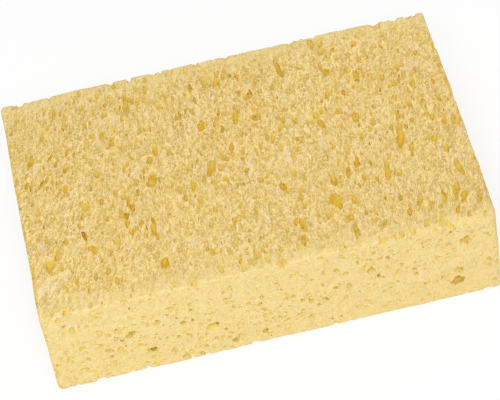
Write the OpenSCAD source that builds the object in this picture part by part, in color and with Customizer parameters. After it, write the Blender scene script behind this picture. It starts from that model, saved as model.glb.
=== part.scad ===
// Cleaning sponge: one block of cellulose foam, full of round and long cells.
// The knife that cut the block opened the cells that lay in its six faces.
// The grain runs from front to back, so a cell is long on the top and bottom
// and nearly round on the front and back.
// X is the length, Y the width and Z the height; the sponge lies on Z = 0.

/* [Block] */
// Length of the block, from left to right
block_length = 150; // [100:1:200]
// Width of the block, from front to back
block_width = 96; // [60:1:130]
// Height of the block
block_height = 38; // [20:1:60]
// Radius of the soft edges and corners
edge_radius = 2; // [1:0.5:5]
// Radius of the rubbed corner, at the front right of the top
rubbed_radius = 5; // [2:0.5:9]

/* [Grain] */
// Angle by which the grain leans to the right in the middle of the block
middle_lean = 4; // [-20:1:20]
// Angle added to that lean at both ends of the block
end_lean = 13; // [0:1:25]
// Length of a scattered cell along the grain, for each millimetre of its width
cell_stretch = 2; // [1:0.1:3]
// Height of a cell, for each millimetre of its width
cell_flatness = 0.85; // [0.6:0.05:1.2]

/* [Scattered cells] */
// Width of the narrowest scattered cells
narrow_cell = 1.8; // [1:0.1:2.6]
// Width of the widest scattered cells
wide_cell = 4.8; // [2.8:0.1:6]
// Cells in a row along the length
cells_along = 13; // [6:1:14]
// Cells in a row across the width
cells_across = 8; // [4:1:9]
// Cells in a row up the height
cells_up = 3; // [2:1:4]
// Pattern of the scatter
scatter_seed = 7; // [1:1:50]

/* [Large cells] */
// One row for each large cell: its place in percent of the half length, half width
// and height, its width and length in millimetres, and how much more than the grain
// it leans
large_cells = [
    [71, -15, 100, 3.2, 9.5, 0],
    [28, 75, 100, 3, 10, -10],
    [36, -58, 100, 3.6, 6.5, 0],
    [-13, -2, 100, 3, 7, 5],
    [-13, 38, 100, 3.6, 5.5, 10],
    [3, 38, 100, 2.4, 9, 5],
    [19, -69, 100, 2.6, 8.5, -10],
    [-40, -2, 100, 3.8, 5.5, 10],
    [-43, -75, 100, 3.8, 5, 5],
    [-44, 71, 100, 2.8, 7.5, 5],
    [61, -42, 100, 2.8, 8, 5],
    [-91, 40, 100, 2.8, 8, 5],
    [-91, -56, 100, 3.8, 6, 0],
    [91, -52, 100, 2.8, 8, -25],
    [-28, -100, 39, 5.8, 6, 0],
    [-56, -100, 25, 4.8, 6, 0],
    [80, -100, 22, 7, 5, 0],
    [85, -100, 75, 6, 5, 0],
    [43, -100, 64, 5, 6, 0],
    [-64, -100, 53, 4.6, 6, 0],
    [77, 100, 100, 4.5, 8, 0],
    [-81, -100, 0, 5, 8, 0]
];

/* [Hidden] */

// How far a scattered cell strays from its place in the row, in spacings
stray = 0.46;
// How far a scattered cell turns off the grain, in degrees
turn_off_grain = 14;
// How far its middle lies outside or inside the face, in cell heights
highest_sink = 0.3;
deepest_sink = 0.1;
// How much rarer wide cells are than narrow ones
width_bias = 1.5;
// Width of a large cell's narrow end against its wide end
tip_share = 0.7;
// Room round a large cell, as a share of its length and the other cell's width
clear_share = 0.6;
// Facets round the corners, the large cells and the scattered cells
corner_facets = 16;
large_facets = 8;
scattered_facets = 6;
// Faces of the block, and rows of random numbers that each face draws
face_count = 6;
draw_count = 4;

percent = 1 / 100;
half_length = block_length / 2;
half_width = block_width / 2;

// Lean of the grain at a place in the block
function lean_at(place) = middle_lean + end_lean * pow(place.x / half_length, 2);

// Middle of a large cell, from its row in the list
function large_place(row) = [
    row[0] * percent * half_length,
    row[1] * percent * half_width,
    row[2] * percent * block_height
];

// Whether a scattered cell stays clear of every large one
function is_clear(place, width) = min([
    for (row = large_cells)
        norm(place - large_place(row)) - clear_share * (width + row[4])
]) > 0;

// Ball that reaches its radius exactly on all three axes
module ball(radius, facets) {
    resize([2 * radius, 2 * radius, 2 * radius])
        sphere(radius, $fn = facets);
}

// Block with soft edges: the hull of a ball in each corner
module soft_block() {
    hull()
        for (x = [-1, 1], y = [-1, 1], z = [0, 1]) {
            is_rubbed = x > 0 && y < 0 && z > 0;
            radius = is_rubbed ? rubbed_radius : edge_radius;
            height = z > 0 ? block_height - radius : radius;
            translate([x * (half_length - radius), y * (half_width - radius), height])
                ball(radius, corner_facets);
        }
}

// Egg-shaped large cell: its wide end in front, its narrow end behind
module large_cell(width, length) {
    tip = width * tip_share;
    scale([1, 1, cell_flatness])
        hull() {
            translate([0, (width - length) / 2, 0])
                ball(width / 2, large_facets);
            translate([0, (length - tip) / 2, 0])
                ball(tip / 2, large_facets);
        }
}

// Scattered cell, drawn out along the grain, with a corner at either end
module scattered_cell(width) {
    scale([1, cell_stretch, cell_flatness])
        rotate([0, 0, 180 / scattered_facets])
            sphere(d = width, $fn = scattered_facets);
}

// Large cells, each at its place and along the grain
module large_cells() {
    for (row = large_cells) {
        place = large_place(row);
        translate(place)
            rotate([0, 0, -lean_at(place) - row[5]])
                large_cell(row[3], row[4]);
    }
}

// Rows of scattered cells in one face. The face is given by its middle,
// the two sides that it spans and the direction out of the block.
module scattered_cells(face, middle, side, rise, outward, columns, rows) {
    count = columns * rows;
    seed = (scatter_seed * face_count + face) * draw_count;
    strays = rands(-stray, stray, 2 * count, seed);
    picks = rands(0, 1, count, seed + 1);
    sinks = rands(-deepest_sink, highest_sink, count, seed + 2);
    turns = rands(-turn_off_grain, turn_off_grain, 2 * count, seed + 3);
    for (i = [0 : count - 1]) {
        across = (i % columns + 0.5 + strays[2 * i]) / columns - 0.5;
        up = (floor(i / columns) + 0.5 + strays[2 * i + 1]) / rows - 0.5;
        width = narrow_cell + (wide_cell - narrow_cell) * pow(picks[i], width_bias);
        sink = outward * sinks[i] * width * cell_flatness;
        place = middle + side * across + rise * up + sink;
        if (is_clear(place, width))
            translate(place)
                rotate([turns[2 * i], 0, turns[2 * i + 1] - lean_at(place)])
                    scattered_cell(width);
    }
}

// The open cells of all six faces
module open_cells() {
    x = [block_length, 0, 0];
    y = [0, block_width, 0];
    z = [0, 0, block_height];
    large_cells();
    scattered_cells(0, z, x, y, [0, 0, 1], cells_along, cells_across);
    scattered_cells(1, 0 * z, x, y, [0, 0, -1], cells_along, cells_across);
    scattered_cells(2, (z - y) / 2, x, z, [0, -1, 0], cells_along, cells_up);
    scattered_cells(3, (z + y) / 2, x, z, [0, 1, 0], cells_along, cells_up);
    scattered_cells(4, (z - x) / 2, y, z, [-1, 0, 0], cells_across, cells_up);
    scattered_cells(5, (z + x) / 2, y, z, [1, 0, 0], cells_across, cells_up);
}

module sponge() {
    color([0.91, 0.79, 0.52])
        difference() {
            soft_block();
            open_cells();
        }
}

sponge();
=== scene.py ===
import math

import bmesh
import bpy
import numpy as np
from mathutils import Matrix, Vector


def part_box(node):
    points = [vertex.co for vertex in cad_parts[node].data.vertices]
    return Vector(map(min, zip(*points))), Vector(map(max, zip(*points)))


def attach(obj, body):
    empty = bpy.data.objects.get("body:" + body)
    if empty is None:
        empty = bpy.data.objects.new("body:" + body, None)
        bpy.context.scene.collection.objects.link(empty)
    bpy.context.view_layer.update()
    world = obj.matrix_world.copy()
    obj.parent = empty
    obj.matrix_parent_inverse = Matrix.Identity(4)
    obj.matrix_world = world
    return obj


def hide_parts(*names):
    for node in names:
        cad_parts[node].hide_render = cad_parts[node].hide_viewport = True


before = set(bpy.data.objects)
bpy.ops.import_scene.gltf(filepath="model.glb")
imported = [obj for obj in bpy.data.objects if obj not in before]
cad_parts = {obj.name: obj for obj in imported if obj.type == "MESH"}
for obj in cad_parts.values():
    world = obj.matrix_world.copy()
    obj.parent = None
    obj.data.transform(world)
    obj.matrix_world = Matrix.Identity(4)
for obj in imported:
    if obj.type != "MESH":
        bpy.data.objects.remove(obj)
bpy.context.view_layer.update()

# Cleaning sponge: one block of cellulose foam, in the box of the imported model. It has
# the same grain and large cells, and thousands of smaller cells open in its faces.
# Sizes and places of the block and its cells are in millimetres.

MM = 0.001
CM = 10
SEED = 11
RNG = np.random.default_rng(SEED)

# The block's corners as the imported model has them, its half sizes and its middle
LOW, HIGH = (np.array(corner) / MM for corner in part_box("sponge"))
HALF = (HIGH - LOW) / 2
MIDDLE = (HIGH + LOW) / 2
# Radius of the edges, and of the rubbed corner at the front right of the top
EDGE_RADIUS = 1.0
RUBBED_RADIUS = 3.2
RUBBED_CORNER = np.array([1, -1, 1])
# Distance from that corner, in half heights, where the rubbing starts and where it is full
RUBBED_FROM, RUBBED_TO = 1.3, 0.3
# Broad and close swell of the faces: height, number of waves and length of each
SWELL = [(0.2, 7, 34), (0.1, 9, 10)]
# Least and greatest length of a single wave, against its layer's
WAVE_SPREAD = (0.6, 1.6)
# Spacing of the grid of points on the faces, and how far its outer rows are from an edge
GRID_STEP = 4.0
EDGE_STEPS = (0.0, 0.3, 0.7, 1.2, 2.0, 3.5)
MOST_TRIANGLES = 196000
SHARP_ANGLE = math.radians(42)

# Grain: a cell leans to the right going back, more at both ends than in the middle
MIDDLE_LEAN = math.radians(4)
END_LEAN = math.radians(13)
# Length of a cell along the grain and its height, for each millimetre of its width
STRETCH = 2.25
FLATNESS = 1.2
# The cells' tops lean to the left
TILT = math.radians(-14)
# Rows of the table that holds the cells' places
MOST_CELLS = 20000

# Large cells that stand out in the photograph: place in percent of the half length,
# half width and height, width and length, and lean past the grain in degrees
LARGE_CELLS = [
    (71, -15, 100, 3.2, 9.5, 0),
    (28, 75, 100, 3, 10, -10),
    (36, -58, 100, 3.6, 6.5, 0),
    (-13, -2, 100, 3, 7, 5),
    (-13, 38, 100, 3.6, 5.5, 10),
    (3, 38, 100, 2.4, 9, 5),
    (19, -69, 100, 2.6, 8.5, -10),
    (-40, -2, 100, 3.8, 5.5, 10),
    (-43, -75, 100, 3.8, 5, 5),
    (-44, 71, 100, 2.8, 7.5, 5),
    (61, -42, 100, 2.8, 8, 5),
    (-91, 40, 100, 2.8, 8, 5),
    (-91, -56, 100, 3.8, 6, 0),
    (91, -52, 100, 2.8, 8, -25),
    (-28, -100, 39, 4.8, 6, 0),
    (-56, -100, 25, 4, 5, 0),
    (80, -100, 22, 5.6, 6, 0),
    (85, -100, 75, 4.6, 5, 0),
    (43, -100, 64, 3.6, 5, 0),
    (-64, -100, 53, 3.4, 5, 0),
    (77, 100, 100, 4.5, 8, 0),
    (-81, -100, 0, 4.6, 6, 0),
]
# Size of a large cell's body against the whole, which has lobes
LARGE_SHARE = 0.86
# Height of a large cell against its width
LARGE_FLATNESS = 0.85

# Scattered cells, widest first: how many open in a square centimetre of face, and
# the least and greatest width
SCATTER = [
    (0.5, 1.6, 2.2),
    (3.3, 1.0, 1.6),
    (7.0, 0.65, 1.0),
    (1.0, 0.5, 0.65),
]
# More and wider cells open in the front and back, which cut across the grain
END_GRAIN_MORE = 1.5
END_GRAIN_WIDER = 1.15
# Length into the block of those cells, against the others'
END_GRAIN_LENGTH = 0.4
# How far inside and outside the face a scattered cell's middle may lie, in half sizes
DEEPEST, SHALLOWEST = -0.2, 0.7
# Least and greatest stretch of a scattered cell, against the usual one
UNEVEN_STRETCH = (0.65, 1.35)
# Places that are tried for a scattered cell. A free one is farther from the middle of
# every other cell than that cell's half width and this share of its own width.
MOST_TRIES = 8
CLEAR_SHARE = 0.35
# Mean and spread, in degrees, of the angles that turn a scattered cell off the grain
EXTRA_LEAN = (-2, 8)
EXTRA_TILT = (0, 14)
DIP = (0, 8)

# Cells that break each centimetre of an edge, and their least and greatest width
PLAIN_EDGE = (2.0, 0.8, 2.4)
# The same for the edges along the length, by their side of the width and of the height:
# both bottom edges and the top one at the back are torn more
LONG_EDGES = {
    (-1, -1): (3.2, 0.8, 2.8),
    (1, -1): (3.2, 0.8, 2.8),
    (1, 1): (3.0, 0.8, 2.6),
    (-1, 1): PLAIN_EDGE,
}
# How much rarer wide cells are than narrow ones there
EDGE_BIAS = 1.5
# How far inside the sharp edge the middle of such a cell lies, and how far from the corners
EDGE_SINK = 0.1
CORNER_FREE = 3.0
# Length of the cells on edges and in the walls of wide cells, against scattered ones
SHORT_SHARE = 0.7

# Lobes that make a wide cell's outline irregular: from which width of the cell, how many
# at most, and their least and greatest size against the cell's
LOBES_FROM_WIDTH = 1.2
MOST_LOBES = 2
LOBE_SIZES = (0.4, 0.8)
# How widely they spread across, along and up the cell, and their least and greatest
# distance from its middle, in its half sizes
LOBE_SPREAD = (0.6, 1, 0.5)
LOBE_PLACES = (0.6, 1.1)
# Small cells that open into the wall of a wide one: how many, from which width of the
# wide cell, and their least and greatest width
INNER_CELLS = 4
INNER_FROM_WIDTH = 1.9
INNER_WIDTHS = (0.5, 1.2)

# Unevenness of a cell, as a ball of radius 1: height, number of waves and length of its
# two layers, and the reach that is allowed for when cells are put into groups
UNEVENNESS = [(0.34, 4, 2.0), (0.17, 5, 0.9)]
BULGE = 1.3
# Widths from which a cell has finer facets
FINER_FROM = (1.1, 3.0)

# Where the look of the front and back starts and is full on the faces beside them: how
# much nearer a point lies to the front or back than to an end, the top or the bottom
END_GRAIN_FROM, END_GRAIN_TO = -11.0, 2.0


def lean_at(x):
    """Lean of the grain at a place along the length."""
    return MIDDLE_LEAN + END_LEAN * (x / HALF[0]) ** 2


def smoothstep(low, high, value):
    """0 at the value low, 1 at high, and smooth between them."""
    t = np.clip((value - low) / (high - low), 0, 1)
    return t * t * (3 - 2 * t)


def unit(vectors):
    """Vectors of length 1 that point the same way."""
    return vectors / np.linalg.norm(vectors, axis=-1, keepdims=True)


def waves(count, length, rng):
    """A function that gives smooth noise of about -1 to 1 at points, from crossed waves."""
    pitch = length * rng.uniform(*WAVE_SPREAD, count)
    steps = unit(rng.normal(size=(count, 3))) * 2 * math.pi / pitch[:, None]
    starts = rng.uniform(0, 2 * math.pi, count)
    return lambda points: np.sin(points @ steps.T + starts).sum(axis=1) / math.sqrt(2 * count)


def layered_waves(layers, rng):
    """A function that adds layers of such noise to a base, each with its own height."""
    made = [(height, waves(count, length, rng)) for height, count, length in layers]
    return lambda points, base=0: sum((height * wave(points) for height, wave in made), base)


def mesh_object(name, points, faces):
    """A mesh object from points in millimetres and faces."""
    mesh = bpy.data.meshes.new(name)
    mesh.from_pydata((points * MM).tolist(), [], [list(map(int, f)) for f in faces])
    piece = bpy.data.objects.new(name, mesh)
    bpy.context.scene.collection.objects.link(piece)
    return piece


def grid_line(half):
    """Places of the grid's lines along one axis: close near the edges, then even."""
    inner = half - EDGE_STEPS[-1]
    count = max(2, round(2 * inner / GRID_STEP))
    middle = np.linspace(-inner, inner, count + 1)
    edge = half - np.array(EDGE_STEPS[:-1])
    return np.concatenate([-edge, middle, edge[::-1]])


def block_shell():
    """Points and faces of a sharp-edged box, with close rows of points along its edges."""
    lines = [grid_line(h) for h in HALF]
    index, points, faces = {}, [], []

    def point(place):
        """The number of the point at this place, which is added the first time."""
        key = tuple(np.round(place, 4))
        if key not in index:
            index[key] = len(points)
            points.append(place)
        return index[key]

    for axis in range(3):
        a, b = (axis + 1) % 3, (axis + 2) % 3
        for side in (-1, 1):
            ids = np.zeros((len(lines[a]), len(lines[b])), int)
            for i, u in enumerate(lines[a]):
                for j, v in enumerate(lines[b]):
                    place = np.zeros(3)
                    place[axis], place[a], place[b] = side * HALF[axis], u, v
                    ids[i, j] = point(place)
            for i in range(len(lines[a]) - 1):
                for j in range(len(lines[b]) - 1):
                    a0, a1, a2, a3 = ids[i, j], ids[i + 1, j], ids[i + 1, j + 1], ids[i, j + 1]
                    faces += [(a0, a1, a2)[::side], (a0, a2, a3)[::side]]
    return np.array(points), faces


def edge_radius(points):
    """Radius of the block's edges near each point: wider at the rubbed corner."""
    away = np.linalg.norm((points - RUBBED_CORNER * HALF) / HALF[2], axis=1, keepdims=True)
    wider = smoothstep(RUBBED_FROM, RUBBED_TO, away)
    return EDGE_RADIUS + (RUBBED_RADIUS - EDGE_RADIUS) * wider


def soft_block(points, swell):
    """Rounds the box's edges and corners, and moves its faces in or out by the swell."""
    radius = edge_radius(points)
    inner = np.clip(points, radius - HALF, HALF - radius)
    soft = inner + unit(points - inner) * (radius + swell(points)[:, None])
    soft[:, 2] = np.maximum(soft[:, 2], -HALF[2])
    return soft


def depth_inside(points, swell):
    """How deep each point lies under the soft block's faces."""
    radius = edge_radius(points)
    out = np.abs(points) - HALF + radius
    outside = np.linalg.norm(np.maximum(out, 0), axis=1) + np.minimum(out.max(axis=1), 0)
    return radius[:, 0] + swell(points) - outside


def icosphere(level):
    """Points and triangles of a ball of radius 1."""
    ball = bmesh.new()
    bmesh.ops.create_icosphere(ball, subdivisions=level, radius=1.0)
    points = np.array([v.co[:] for v in ball.verts])
    faces = np.array([[v.index for v in f.verts] for f in ball.faces])
    ball.free()
    return points, faces


class Cells:
    """The open cells: a centre, three half sizes and a turn each."""

    def __init__(self):
        self.centre, self.size, self.turn = [], [], []
        self.taken = np.zeros((MOST_CELLS, 4))

    def add(self, centre, size, turn):
        self.taken[len(self.centre)] = *centre, size[0]
        self.centre.append(np.asarray(centre, float))
        self.size.append(np.asarray(size, float))
        self.turn.append(turn)

    def is_free(self, centre, width):
        """Whether a cell of this width would keep clear of the others here."""
        taken = self.taken[:len(self.centre)]
        away = np.linalg.norm((taken[:, :3] - centre) / (1, STRETCH, 1), axis=1)
        return bool((away > taken[:, 3] + CLEAR_SHARE * width).all())


def turn_matrix(lean, tilt=TILT, dip=0.0):
    """Turn of a cell: it leans to the right and dips, and its top leans to one side."""
    leaned = Matrix.Rotation(-lean, 3, "Z")
    tilted = Matrix.Rotation(tilt, 3, "Y")
    dipped = Matrix.Rotation(dip, 3, "X")
    return np.array(leaned @ tilted @ dipped)


def large_cells(cells):
    """The large cells of the list, along the grain at their places."""
    for x, y, z, width, length, lean in LARGE_CELLS:
        place = np.array([x * HALF[0], y * HALF[1], z * 2 * HALF[2]]) / 100 - (0, 0, HALF[2])
        size = np.array([width, length, width * LARGE_FLATNESS]) / 2 * LARGE_SHARE
        cells.add(place, size, turn_matrix(lean_at(place[0]) + math.radians(lean)))


def faces_of_block():
    """Each face of the block: the axis that it faces along, and which way."""
    return [(axis, side) for axis in (2, 1, 0) for side in (1, -1)]


def scattered_cells(cells, rng):
    """Cells at random places in all six faces."""
    for density, least, greatest in SCATTER:
        for axis, side in faces_of_block():
            a, b = (axis + 1) % 3, (axis + 2) % 3
            area = 4 * HALF[a] * HALF[b] / CM ** 2
            more, wider = (END_GRAIN_MORE, END_GRAIN_WIDER) if axis == 1 else (1, 1)
            for _ in range(round(density * area * more)):
                scattered_cell(cells, axis, side, rng.uniform(least, greatest) * wider, rng)


def scattered_cell(cells, axis, side, width, rng):
    """One cell in a face, at a random place that is still free if one is found."""
    for _ in range(MOST_TRIES):
        place = rng.uniform(-1, 1, 3) * HALF
        place[axis] = side * HALF[axis]
        if cells.is_free(place, width):
            break
    stretch = STRETCH * rng.uniform(*UNEVEN_STRETCH) * (END_GRAIN_LENGTH if axis == 1 else 1)
    size = np.array([width, width * stretch, width * FLATNESS]) / 2
    sink = rng.uniform(DEEPEST, SHALLOWEST)
    size /= math.sqrt(1 - sink * sink)
    place[axis] += side * sink * size[axis]
    lean = lean_at(place[0]) + math.radians(rng.normal(*EXTRA_LEAN))
    tilt = TILT + math.radians(rng.normal(*EXTRA_TILT))
    dip = math.radians(rng.normal(*DIP))
    cells.add(place, size, turn_matrix(lean, tilt, dip))


def edge_cells(cells, rng):
    """Cells that break the block's edges."""
    for along in range(3):
        reach = HALF[along] - CORNER_FREE
        for sides in ((-1, -1), (-1, 1), (1, -1), (1, 1)):
            corner = sides * np.delete(HALF, along)
            density, least, greatest = LONG_EDGES[sides] if along == 0 else PLAIN_EDGE
            for _ in range(round(density * 2 * HALF[along] / CM)):
                place = np.insert(corner, along, rng.uniform(-1, 1) * reach)
                width = least + (greatest - least) * rng.uniform() ** EDGE_BIAS
                size = np.array([width, width * STRETCH * SHORT_SHARE, width * FLATNESS]) / 2
                inside = place - EDGE_SINK * np.sign(place)
                cells.add(inside, size, turn_matrix(lean_at(place[0])))


def lobes(cells, rng):
    """Smaller cells that run into wide ones, so that the openings are less regular."""
    for i in range(len(cells.centre)):
        if cells.size[i][0] * 2 < LOBES_FROM_WIDTH:
            continue
        for _ in range(rng.integers(1, MOST_LOBES + 1)):
            size = cells.size[i] * rng.uniform(*LOBE_SIZES)
            way = unit(rng.normal(size=3) * LOBE_SPREAD)
            away = way * cells.size[i] * rng.uniform(*LOBE_PLACES)
            cells.add(cells.centre[i] + cells.turn[i] @ away, size, cells.turn[i])


def inner_cells(cells, rng):
    """Small cells that open into the wall of a wide one."""
    for i in range(len(cells.centre)):
        if cells.size[i][0] * 2 < INNER_FROM_WIDTH:
            continue
        for _ in range(INNER_CELLS):
            way = unit(rng.normal(size=3))
            centre = cells.centre[i] + cells.turn[i] @ (way * cells.size[i])
            width = rng.uniform(*INNER_WIDTHS)
            size = np.array([width, width * STRETCH * SHORT_SHARE, width]) / 2
            cells.add(centre, size, cells.turn[i])


def groups_of(cells):
    """Sorts the cells, widest first, into groups in which no two can touch."""
    squeeze = np.array([1, 1 / STRETCH, 1])
    centre = np.array(cells.centre) * squeeze
    shape = squeeze[:, None] * np.array(cells.turn) * np.array(cells.size)[:, None, :]
    reach = BULGE * np.linalg.norm(shape, ord=2, axis=(1, 2))
    group = np.full(len(centre), -1)
    for i in np.argsort(-reach, kind="stable"):
        near = np.linalg.norm(centre - centre[i], axis=1) < reach + reach[i]
        taken = set(group[near])
        group[i] = min(set(range(len(taken) + 1)) - taken)
    return group


def cutters(cells, rng):
    """For each group one object that holds all its cells as closed, uneven eggs."""
    balls = [icosphere(level) for level in (1, 2, 3)]
    group = groups_of(cells)
    for g in range(group.max() + 1):
        points, faces, base = [], [], 0
        for i in np.flatnonzero(group == g):
            width = cells.size[i][0] * 2
            ball, triangles = balls[sum(width >= least for least in FINER_FROM)]
            uneven = layered_waves(UNEVENNESS, rng)(ball, 1)
            egg = ball * uneven[:, None] * cells.size[i]
            points.append(egg @ cells.turn[i].T + cells.centre[i])
            faces.append(triangles + base)
            base += len(ball)
        yield mesh_object("cutter", np.concatenate(points), np.concatenate(faces))


def apply_modifiers(piece):
    """Makes the result of the piece's modifiers its own mesh."""
    graph = bpy.context.evaluated_depsgraph_get()
    mesh = bpy.data.meshes.new_from_object(piece.evaluated_get(graph))
    piece.modifiers.clear()
    old, piece.data = piece.data, mesh
    bpy.data.meshes.remove(old)


def cut(piece, cutter):
    """Takes the cutter out of the piece, and deletes it."""
    step = piece.modifiers.new("cells", "BOOLEAN")
    step.operation, step.solver, step.object = "DIFFERENCE", "MANIFOLD", cutter
    apply_modifiers(piece)
    old = cutter.data
    bpy.data.objects.remove(cutter)
    bpy.data.meshes.remove(old)


def thin_out(piece):
    """Merges the smallest and flattest triangles, down to the most that a piece may have."""
    count = sum(len(face.vertices) - 2 for face in piece.data.polygons)
    step = piece.modifiers.new("thin", "DECIMATE")
    step.ratio = min(1, MOST_TRIANGLES / count)
    apply_modifiers(piece)
    work = bmesh.new()
    work.from_mesh(piece.data)
    bmesh.ops.delete(work, geom=[edge for edge in work.edges if edge.is_wire], context="EDGES")
    bmesh.ops.holes_fill(work, edges=[edge for edge in work.edges if edge.is_boundary], sides=0)
    work.to_mesh(piece.data)
    work.free()


def drop_crumbs(piece):
    """Keeps the largest connected part, and deletes crumbs that the cuts left loose."""
    work = bmesh.new()
    work.from_mesh(piece.data)
    work.verts.ensure_lookup_table()
    seen, parts = set(), []
    for start in work.verts:
        if start in seen:
            continue
        part, queue = [], [start]
        seen.add(start)
        while queue:
            vert = queue.pop()
            part.append(vert)
            for edge in vert.link_edges:
                other = edge.other_vert(vert)
                if other not in seen:
                    seen.add(other)
                    queue.append(other)
        parts.append(part)
    parts.sort(key=len)
    crumbs = [vert for part in parts[:-1] for vert in part]
    bmesh.ops.delete(work, geom=crumbs, context="VERTS")
    work.to_mesh(piece.data)
    work.free()


def paint(piece, swell):
    """Gives each point what the material reads: its depth under the faces, which sets the
    painted shade in the cells, its place in the grain, and how much it has the look of the
    front and back."""
    mesh = piece.data

    def store(name, kind, field, values):
        attribute = mesh.attributes.new(name, kind, "POINT")
        attribute.data.foreach_set(field, values.astype(np.float32).ravel())

    points = np.zeros(len(mesh.vertices) * 3)
    mesh.vertices.foreach_get("co", points)
    points = points.reshape(-1, 3) / MM - MIDDLE
    x, y, z = points.T
    under = HALF - np.abs(points)
    nearer = np.minimum(under[:, 0], under[:, 2]) - under[:, 1]
    grain = np.column_stack([x - y * np.tan(lean_at(x)), y / STRETCH, z / FLATNESS])
    store("depth", "FLOAT", "value", depth_inside(points, swell))
    store("end_grain", "FLOAT", "value", smoothstep(END_GRAIN_FROM, END_GRAIN_TO, nearer))
    store("grain", "FLOAT_VECTOR", "vector", grain)


def make_sponge():
    """The block of foam, with all its cells cut out of it."""
    points, faces = block_shell()
    swell = layered_waves(SWELL, RNG)
    piece = mesh_object("sponge_foam", soft_block(points, swell) + MIDDLE, faces)
    cells = Cells()
    large_cells(cells)
    scattered_cells(cells, RNG)
    edge_cells(cells, RNG)
    lobes(cells, RNG)
    inner_cells(cells, RNG)
    cells.centre = [centre + MIDDLE for centre in cells.centre]
    for cutter in cutters(cells, RNG):
        cut(piece, cutter)
    drop_crumbs(piece)
    thin_out(piece)
    piece.data.shade_smooth()
    piece.data.set_sharp_from_angle(angle=SHARP_ANGLE)
    paint(piece, swell)
    return piece


# Materials

# Colours on screen, from 0 to 255: of the walls, and of what shows on them
PALE_WALL = (252, 225, 169)
GOLDEN_WALL = (250, 223, 142)
FIBRE_SHADE = (219, 186, 120)
# The smallest pits: painted shade and bounced golden light in these hollows, darker and more
# golden than the walls
FINE_PIT_SHADE = (206, 173, 90)
SMALL_PIT_SHADE = (215, 176, 78)
DARKER_PATCH = (234, 197, 110)
PALER_PATCH = (247, 224, 182)
CUT_GRAIN = (233, 214, 151)
# Painted shade and bounced golden light in an open cell, which turns darker and more
# golden on the way down, with less of it in the front and back: the depths in millimetres
# where each colour starts and is full, how much it covers, and its shade in the faces
# along the grain and in the front and back
CELL_PAINTED_SHADE = [
    (0.03, 0.5, 1.0, (227, 194, 88), (233, 209, 124)),
    (0.4, 1.3, 1.0, (229, 187, 60), (235, 206, 109)),
    (1.2, 2.8, 0.8, (230, 173, 42), (236, 200, 92)),
]
# Range in which pits and fibres stray off the grain, in millimetres, and the squeeze
# of the grain's coordinates that draws fibres out along it
GRAIN_WANDER = 0.9
FIBRE_DRAW = (1.0, 0.8, 1.0)
# The smallest cells: how gradually they go from closed to open, and how far from the
# middle of a wall, at their own scale, a pit starts and is full
PIT_FADE = 0.3
PIT_WALL = (0.05, 0.2)
# Depth of the pits and height of the fibres in the bump, and its strength in the faces
# along the grain and in the front and back
SMALL_PIT_DEPTH = 0.16
FINE_PIT_DEPTH = 0.09
FIBRE_HEIGHT = 0.14
BUMP_ALONG, BUMP_ACROSS = 0.85, 0.6


def linear(red, green, blue):
    """A colour in linear light from its 0 to 255 values on screen."""
    def channel(value):
        share = value / 255
        return share / 12.92 if share <= 0.04045 else ((share + 0.055) / 1.055) ** 2.4
    return (channel(red), channel(green), channel(blue), 1)


class Graph:
    """The nodes of a material or the world, added one at a time with their inputs."""

    def __init__(self, owner):
        owner.use_nodes = True
        self.tree = owner.node_tree
        self.tree.nodes.clear()

    def add(self, kind, settings=None, **inputs):
        """A node. An input goes by its name, or by _ and its number."""
        made = self.tree.nodes.new("ShaderNode" + kind)
        for name, value in (settings or {}).items():
            setattr(made, name, value)
        for name, value in inputs.items():
            socket = made.inputs[int(name[1:]) if name[0] == "_" else name.replace("_", " ")]
            if isinstance(value, bpy.types.NodeSocket):
                self.tree.links.new(value, socket)
            else:
                socket.default_value = value
        return made

    def math(self, operation, a, b=0.0, c=0.0):
        return self.add("Math", {"operation": operation}, _0=a, _1=b, _2=c).outputs[0]

    def vector(self, operation, a, **inputs):
        return self.add("VectorMath", {"operation": operation}, _0=a, **inputs).outputs[0]

    def ramp(self, value, low, high, to_low=0.0, to_high=1.0):
        made = self.add(
            "MapRange", {"interpolation_type": "SMOOTHSTEP"},
            Value=value, From_Min=low, From_Max=high, To_Min=to_low, To_Max=to_high,
        )
        return made.outputs["Result"]

    def mix(self, share, a, b):
        return self.add("Mix", {"data_type": "RGBA"}, _0=share, _6=a, _7=b).outputs[2]

    def noise(self, vector, **inputs):
        return self.add("TexNoise", Vector=vector, **inputs).outputs["Fac"]

    def attribute(self, name, output):
        return self.add("Attribute", {"attribute_name": name}).outputs[output]


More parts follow.
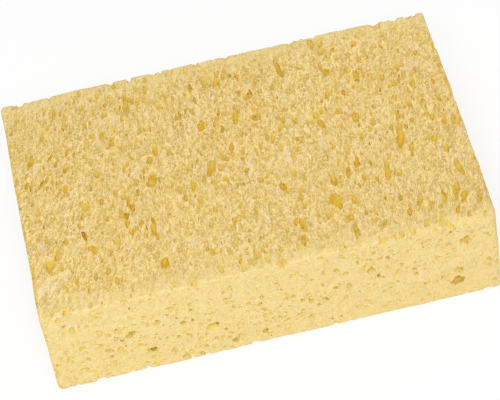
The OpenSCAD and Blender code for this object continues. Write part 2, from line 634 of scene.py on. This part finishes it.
def foam_material():
    """Pale walls with the smallest pits and fibres; the pits and the open cells get painted
    shade and bounced golden light.
    """
    material = bpy.data.materials.new("cellulose_foam")
    g = Graph(material)
    grain = g.attribute("grain", "Vector")
    depth = g.attribute("depth", "Fac")
    end_grain = g.attribute("end_grain", "Fac")
    wander = g.add("TexNoise", Vector=grain, Scale=0.9, Detail=3.0).outputs["Color"]
    shift = g.vector("SUBTRACT", wander, _1=(0.5, 0.5, 0.5))
    shift = g.vector("SCALE", shift, Scale=GRAIN_WANDER)
    warped = g.vector("ADD", grain, _1=shift)
    drawn = g.vector("MULTIPLY", warped, _1=FIBRE_DRAW)

    def pits(scale, share):
        """The smallest cells: 1 in a pit and 0 on the walls between them."""
        edge = g.add("TexVoronoi", {"feature": "DISTANCE_TO_EDGE"}, Vector=warped, Scale=scale)
        cell = g.add("TexVoronoi", {"feature": "F1"}, Vector=warped, Scale=scale)
        is_open = g.ramp(cell.outputs["Color"], 1 - share - PIT_FADE, 1 - share + PIT_FADE)
        return g.math("MULTIPLY", g.ramp(edge.outputs["Distance"], *PIT_WALL), is_open)

    small = pits(scale=1.3, share=0.5)
    fine = pits(scale=2.4, share=0.65)
    fibre = g.noise(drawn, Scale=3.3, Detail=2.0, Roughness=0.6)
    patch = g.noise(grain, Scale=0.06, Detail=2.0)
    pale = g.noise(grain, Scale=0.35, Detail=2.0)
    tint = g.add("TexVoronoi", {"feature": "F1"}, Vector=drawn, Scale=1.1).outputs["Color"]

    colour = g.mix(g.ramp(tint, 0.2, 0.8), linear(*PALE_WALL), linear(*GOLDEN_WALL))
    # Layers of colour over the walls; those of the pits are painted shade and bounced light in
    # the smallest hollows
    for share, strength, shade in (
        (g.ramp(fibre, 0.45, 0.6), 0.3, FIBRE_SHADE),
        (fine, 0.8, FINE_PIT_SHADE),
        (small, 0.85, SMALL_PIT_SHADE),
        (g.ramp(patch, 0.3, 0.7), 0.25, DARKER_PATCH),
        (g.ramp(pale, 0.58, 0.7), 0.45, PALER_PATCH),
        (end_grain, 0.55, CUT_GRAIN),
    ):
        colour = g.mix(g.math("MULTIPLY", share, strength), colour, linear(*shade))
    # Painted shade and bounced light, stronger deeper in the open cells and lighter in the
    # front and back
    for start, full, share, along_grain, across_grain in CELL_PAINTED_SHADE:
        shade = g.mix(end_grain, linear(*along_grain), linear(*across_grain))
        colour = g.mix(g.ramp(depth, start, full, 0.0, share), colour, shade)

    height = g.math("MULTIPLY", fine, -FINE_PIT_DEPTH)
    height = g.math("MULTIPLY_ADD", small, -SMALL_PIT_DEPTH, height)
    height = g.math("ADD", height, g.math("MULTIPLY", fibre, FIBRE_HEIGHT))
    strength = g.ramp(end_grain, 0.0, 1.0, BUMP_ALONG, BUMP_ACROSS)
    bump = g.add("Bump", Height=height, Distance=MM, Strength=strength)
    shader = g.add(
        "BsdfPrincipled", Base_Color=colour, Normal=bump.outputs[0],
        Roughness=0.85, Specular_IOR_Level=0.2,
    )
    g.add("OutputMaterial", Surface=shader.outputs[0])
    return material


# Stage: floor, world, lamp and camera

WHITE = (1, 1, 1, 1)
# Size of the floor in metres, and its gap under the block in millimetres
FLOOR_SIZE = 4.0
FLOOR_GAP = 0.02
# Colour of the floor under the light, and how much pure white the camera sees over it
FLOOR_CARD = (0.95, 0.95, 0.95, 1)
FLOOR_GLOW = 0.7
WORLD_LIGHT = 0.6


def floor_material():
    """White to the camera, with a light shadow of the block."""
    material = bpy.data.materials.new("white_floor")
    g = Graph(material)
    seen = g.add("LightPath").outputs["Is Camera Ray"]
    card = g.add("BsdfDiffuse", Color=FLOOR_CARD)
    glow = g.add("Emission", Color=WHITE, Strength=1.0)
    share = g.math("MULTIPLY", seen, FLOOR_GLOW)
    mix = g.add("MixShader", _0=share, _1=card.outputs[0], _2=glow.outputs[0])
    g.add("OutputMaterial", Surface=mix.outputs[0])
    return material


def make_floor():
    half = FLOOR_SIZE / 2 / MM
    corners = [(-half, -half), (half, -half), (half, half), (-half, half)]
    points = np.array([(x, y, -FLOOR_GAP) for x, y in corners])
    floor = mesh_object("floor", points, [[0, 1, 2, 3]])
    floor.data.materials.append(floor_material())


def make_world():
    """Even light from all round, which the camera sees as white."""
    world = bpy.data.worlds.new("studio")
    bpy.context.scene.world = world
    g = Graph(world)
    seen = g.add("LightPath").outputs["Is Camera Ray"]
    light = g.add("Background", Color=WHITE, Strength=WORLD_LIGHT)
    white = g.add("Background", Color=WHITE, Strength=1.0)
    mix = g.add("MixShader", _0=seen, _1=light.outputs[0], _2=white.outputs[0])
    g.add("OutputWorld", Surface=mix.outputs[0])


def area_lamp(name, place, target, size, power):
    """A round lamp at a place in metres that shines at its target."""
    lamp = bpy.data.lights.new(name, "AREA")
    lamp.shape, lamp.size, lamp.energy = "DISK", size, power
    rig = bpy.data.objects.new(name, lamp)
    rig.location = Vector(place)
    rig.rotation_euler = (Vector(target) - Vector(place)).to_track_quat("-Z", "Y").to_euler()
    bpy.context.scene.collection.objects.link(rig)


def make_camera(place, azimuth, elevation, roll, lens, sensor):
    """A camera at a place in metres, turned by angles in degrees."""
    camera = bpy.data.cameras.new("camera")
    camera.lens, camera.sensor_width = lens, sensor
    rig = bpy.data.objects.new("camera", camera)
    turn = Matrix.Rotation(-math.radians(azimuth), 4, "Z")
    turn = turn @ Matrix.Rotation(math.pi / 2 - math.radians(elevation), 4, "X")
    turn = Matrix.Translation(Vector(place)) @ turn
    rig.matrix_world = turn @ Matrix.Rotation(math.radians(roll), 4, "Z")
    bpy.context.scene.collection.objects.link(rig)
    bpy.context.scene.camera = rig


# The photograph's view, fitted to the block's outline and its front top edge
make_camera(
    place=(-0.0340, -0.4904, 0.5869), azimuth=4.083, elevation=49.257, roll=-9.957,
    lens=159.9, sensor=36,
)
make_world()
area_lamp("key", place=(-0.12, -0.9, 1.3), target=(0, 0, 0.02), size=0.8, power=14.8)
make_floor()

sponge = make_sponge()
sponge.data.materials.clear()
sponge.data.materials.append(foam_material())
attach(sponge, "root")
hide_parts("sponge")

bpy.context.scene.view_settings.view_transform = "Standard"
